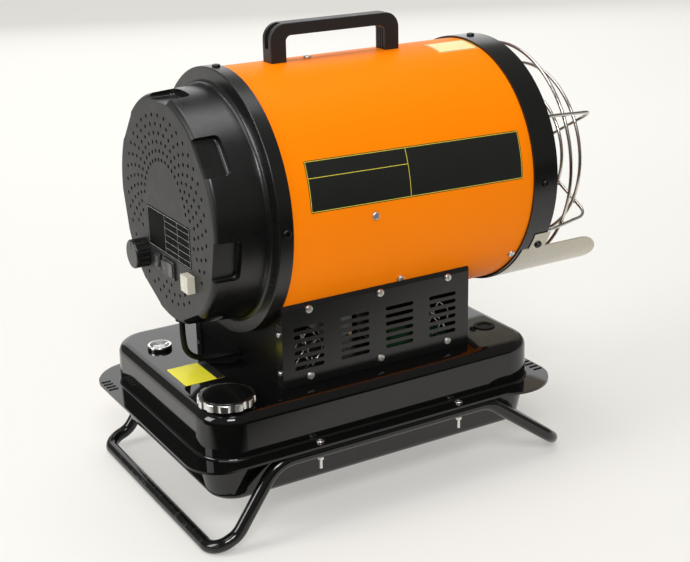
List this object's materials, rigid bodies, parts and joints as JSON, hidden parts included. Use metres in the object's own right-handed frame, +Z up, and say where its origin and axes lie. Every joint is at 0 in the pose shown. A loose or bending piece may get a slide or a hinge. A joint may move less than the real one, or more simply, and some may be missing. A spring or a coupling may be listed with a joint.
{
  "type": "infrared diesel heater",
  "caption": "Portable infrared diesel heater: round drum with a rear control panel and a guarded outlet, on a louvred pedestal, a flat fuel tank and bent tube legs.",
  "frame": {"origin": "on the floor under the middle of the whole heater's bounding box", "axes": "+Z up, +X along the drum towards the heat outlet, -Y towards the side with the large label"},
  "size_m": [0.627, 0.372, 0.5724],
  "materials": {
    "orange_paint": "smooth satin-gloss powder coat",
    "black_gloss": "high gloss black paint",
    "black_satin": "satin moulded black plastic",
    "black_ring": "satin black paint",
    "handle_plastic": "fine-grained dark grey-black plastic",
    "stainless": "bright drawn stainless steel",
    "bright_screws": "bright zinc plate",
    "black_screws": "black oxide",
    "chrome": "polished chrome plate",
    "cap_black": "gloss black plastic",
    "rubber": "black rubber",
    "lens": "clear lens",
    "pointer_red": "red",
    "float_plastic": "natural nylon",
    "strainer": "moulded strainer",
    "galvanized": "galvanized sheet",
    "heat_steel": "heat-tinted stainless steel",
    "brass": "machined brass",
    "ceramic": "glazed ceramic",
    "motor_paint": "dark grey paint",
    "steel": "machined steel",
    "aluminium": "pressed aluminium",
    "transformer_case": "potted case",
    "circuit_board": "green board",
    "control_plastic": "moulded black plastic",
    "ivory": "ivory plastic"
  },
  "bodies": {
    "heater": {"drum_shell": "orange_paint", "front_ring": "black_ring", "rear_cover": "black_satin", "drum_screws": "bright_screws", "ring_screws": "black_screws", "carry_handle": "handle_plastic", "handle_screws": "black_screws", "guard_bows": "stainless", "guard_hoops": "stainless", "heat_deflector": "stainless", "tank_upper_shell": "black_gloss", "tank_lower_shell": "black_gloss", "leg_frame": "black_gloss", "flange_bolts": "bright_screws", "flange_nuts": "bright_screws", "filler_neck": "galvanized", "filler_strainer": "strainer", "gauge_body": "cap_black", "gauge_bezel": "chrome", "gauge_lens": "lens", "tank_plug": "rubber", "fuel_pickup": "brass", "pedestal_base": "black_gloss", "near_side_cover": "black_gloss", "far_side_cover": "black_gloss", "cover_screws": "bright_screws", "heat_shield": "galvanized", "shield_brackets": "galvanized", "combustion_chamber": "heat_steel", "radiant_disc": "heat_steel", "burner_head": "aluminium", "fuel_nozzle": "brass", "ignition_electrodes": "ceramic", "motor_body": "motor_paint", "pump_housing": "aluminium", "pump_cover": "control_plastic", "motor_bracket": "galvanized", "ignition_transformer": "transformer_case", "control_board": "circuit_board", "fuel_hose": "rubber", "air_hose": "rubber", "control_lead": "rubber", "lead_grommets": "rubber", "thermostat_body": "galvanized", "small_rocker_frame": "control_plastic", "large_rocker_frame": "control_plastic", "reset_housing": "control_plastic"},
    "rotor": {"motor_shaft": "steel", "cooling_fan": "aluminium", "pump_rotor": "steel"},
    "knob": {"thermostat_knob": "control_plastic"},
    "small_rocker": {"small_rocker_paddle": "control_plastic"},
    "large_rocker": {"large_rocker_paddle": "control_plastic"},
    "push_button": {"reset_button": "ivory"},
    "cap_plug": {"cap_insert": "control_plastic", "cap_gasket": "rubber"},
    "cap_shell": {"fuel_cap_rim": "chrome", "fuel_cap_disc": "cap_black"},
    "float": {"float_arm": "float_plastic"},
    "pointer": {"gauge_pointer": "pointer_red"}
  },
  "joints": [
    {"name": "rotor_spin", "type": "hinge", "parent": "heater", "child": "rotor", "pos_m": [-0.1245, 0, 0.369], "axis": [1, 0, 0], "continuous": true},
    {"name": "knob_turn", "type": "hinge", "parent": "heater", "child": "knob", "pos_m": [-0.2625, 0.072, 0.2985], "axis": [-1, 0, 0], "range_deg": [0, 270]},
    {"name": "small_rocker_tilt", "type": "hinge", "parent": "heater", "child": "small_rocker", "pos_m": [-0.2636, 0.0285, 0.2995], "axis": [0, 1, 0], "range_deg": [-14, 0]},
    {"name": "large_rocker_tilt", "type": "hinge", "parent": "heater", "child": "large_rocker", "pos_m": [-0.2636, -0.004, 0.2985], "axis": [0, 0, 1], "range_deg": [-14, 0]},
    {"name": "button_press", "type": "slide", "parent": "heater", "child": "push_button", "axis": [1, 0, 0], "range_m": [0, 0.0035], "stiffness_N_per_m": 200, "springref_m": -0.002},
    {"name": "cap_lift", "type": "slide", "parent": "heater", "child": "cap_plug", "axis": [0, 0, 1], "range_m": [0, 0.06]},
    {"name": "cap_turn", "type": "hinge", "parent": "cap_plug", "child": "cap_shell", "pos_m": [-0.2515, -0.119, 0.172], "axis": [0, 0, 1], "range_deg": [0, 90]},
    {"name": "float_swing", "type": "hinge", "parent": "heater", "child": "float", "pos_m": [-0.2495, 0.08, 0.142], "axis": [0, -1, 0], "range_deg": [0, 50]},
    {"name": "pointer_turn", "type": "hinge", "parent": "heater", "child": "pointer", "pos_m": [-0.2495, 0.08, 0.167], "axis": [0, 0, 1], "range_deg": [0, 60]}
  ],
  "couplings": [
    {"joint": "pointer_turn", "follows": "float_swing", "ratio": 1.2}
  ]
}
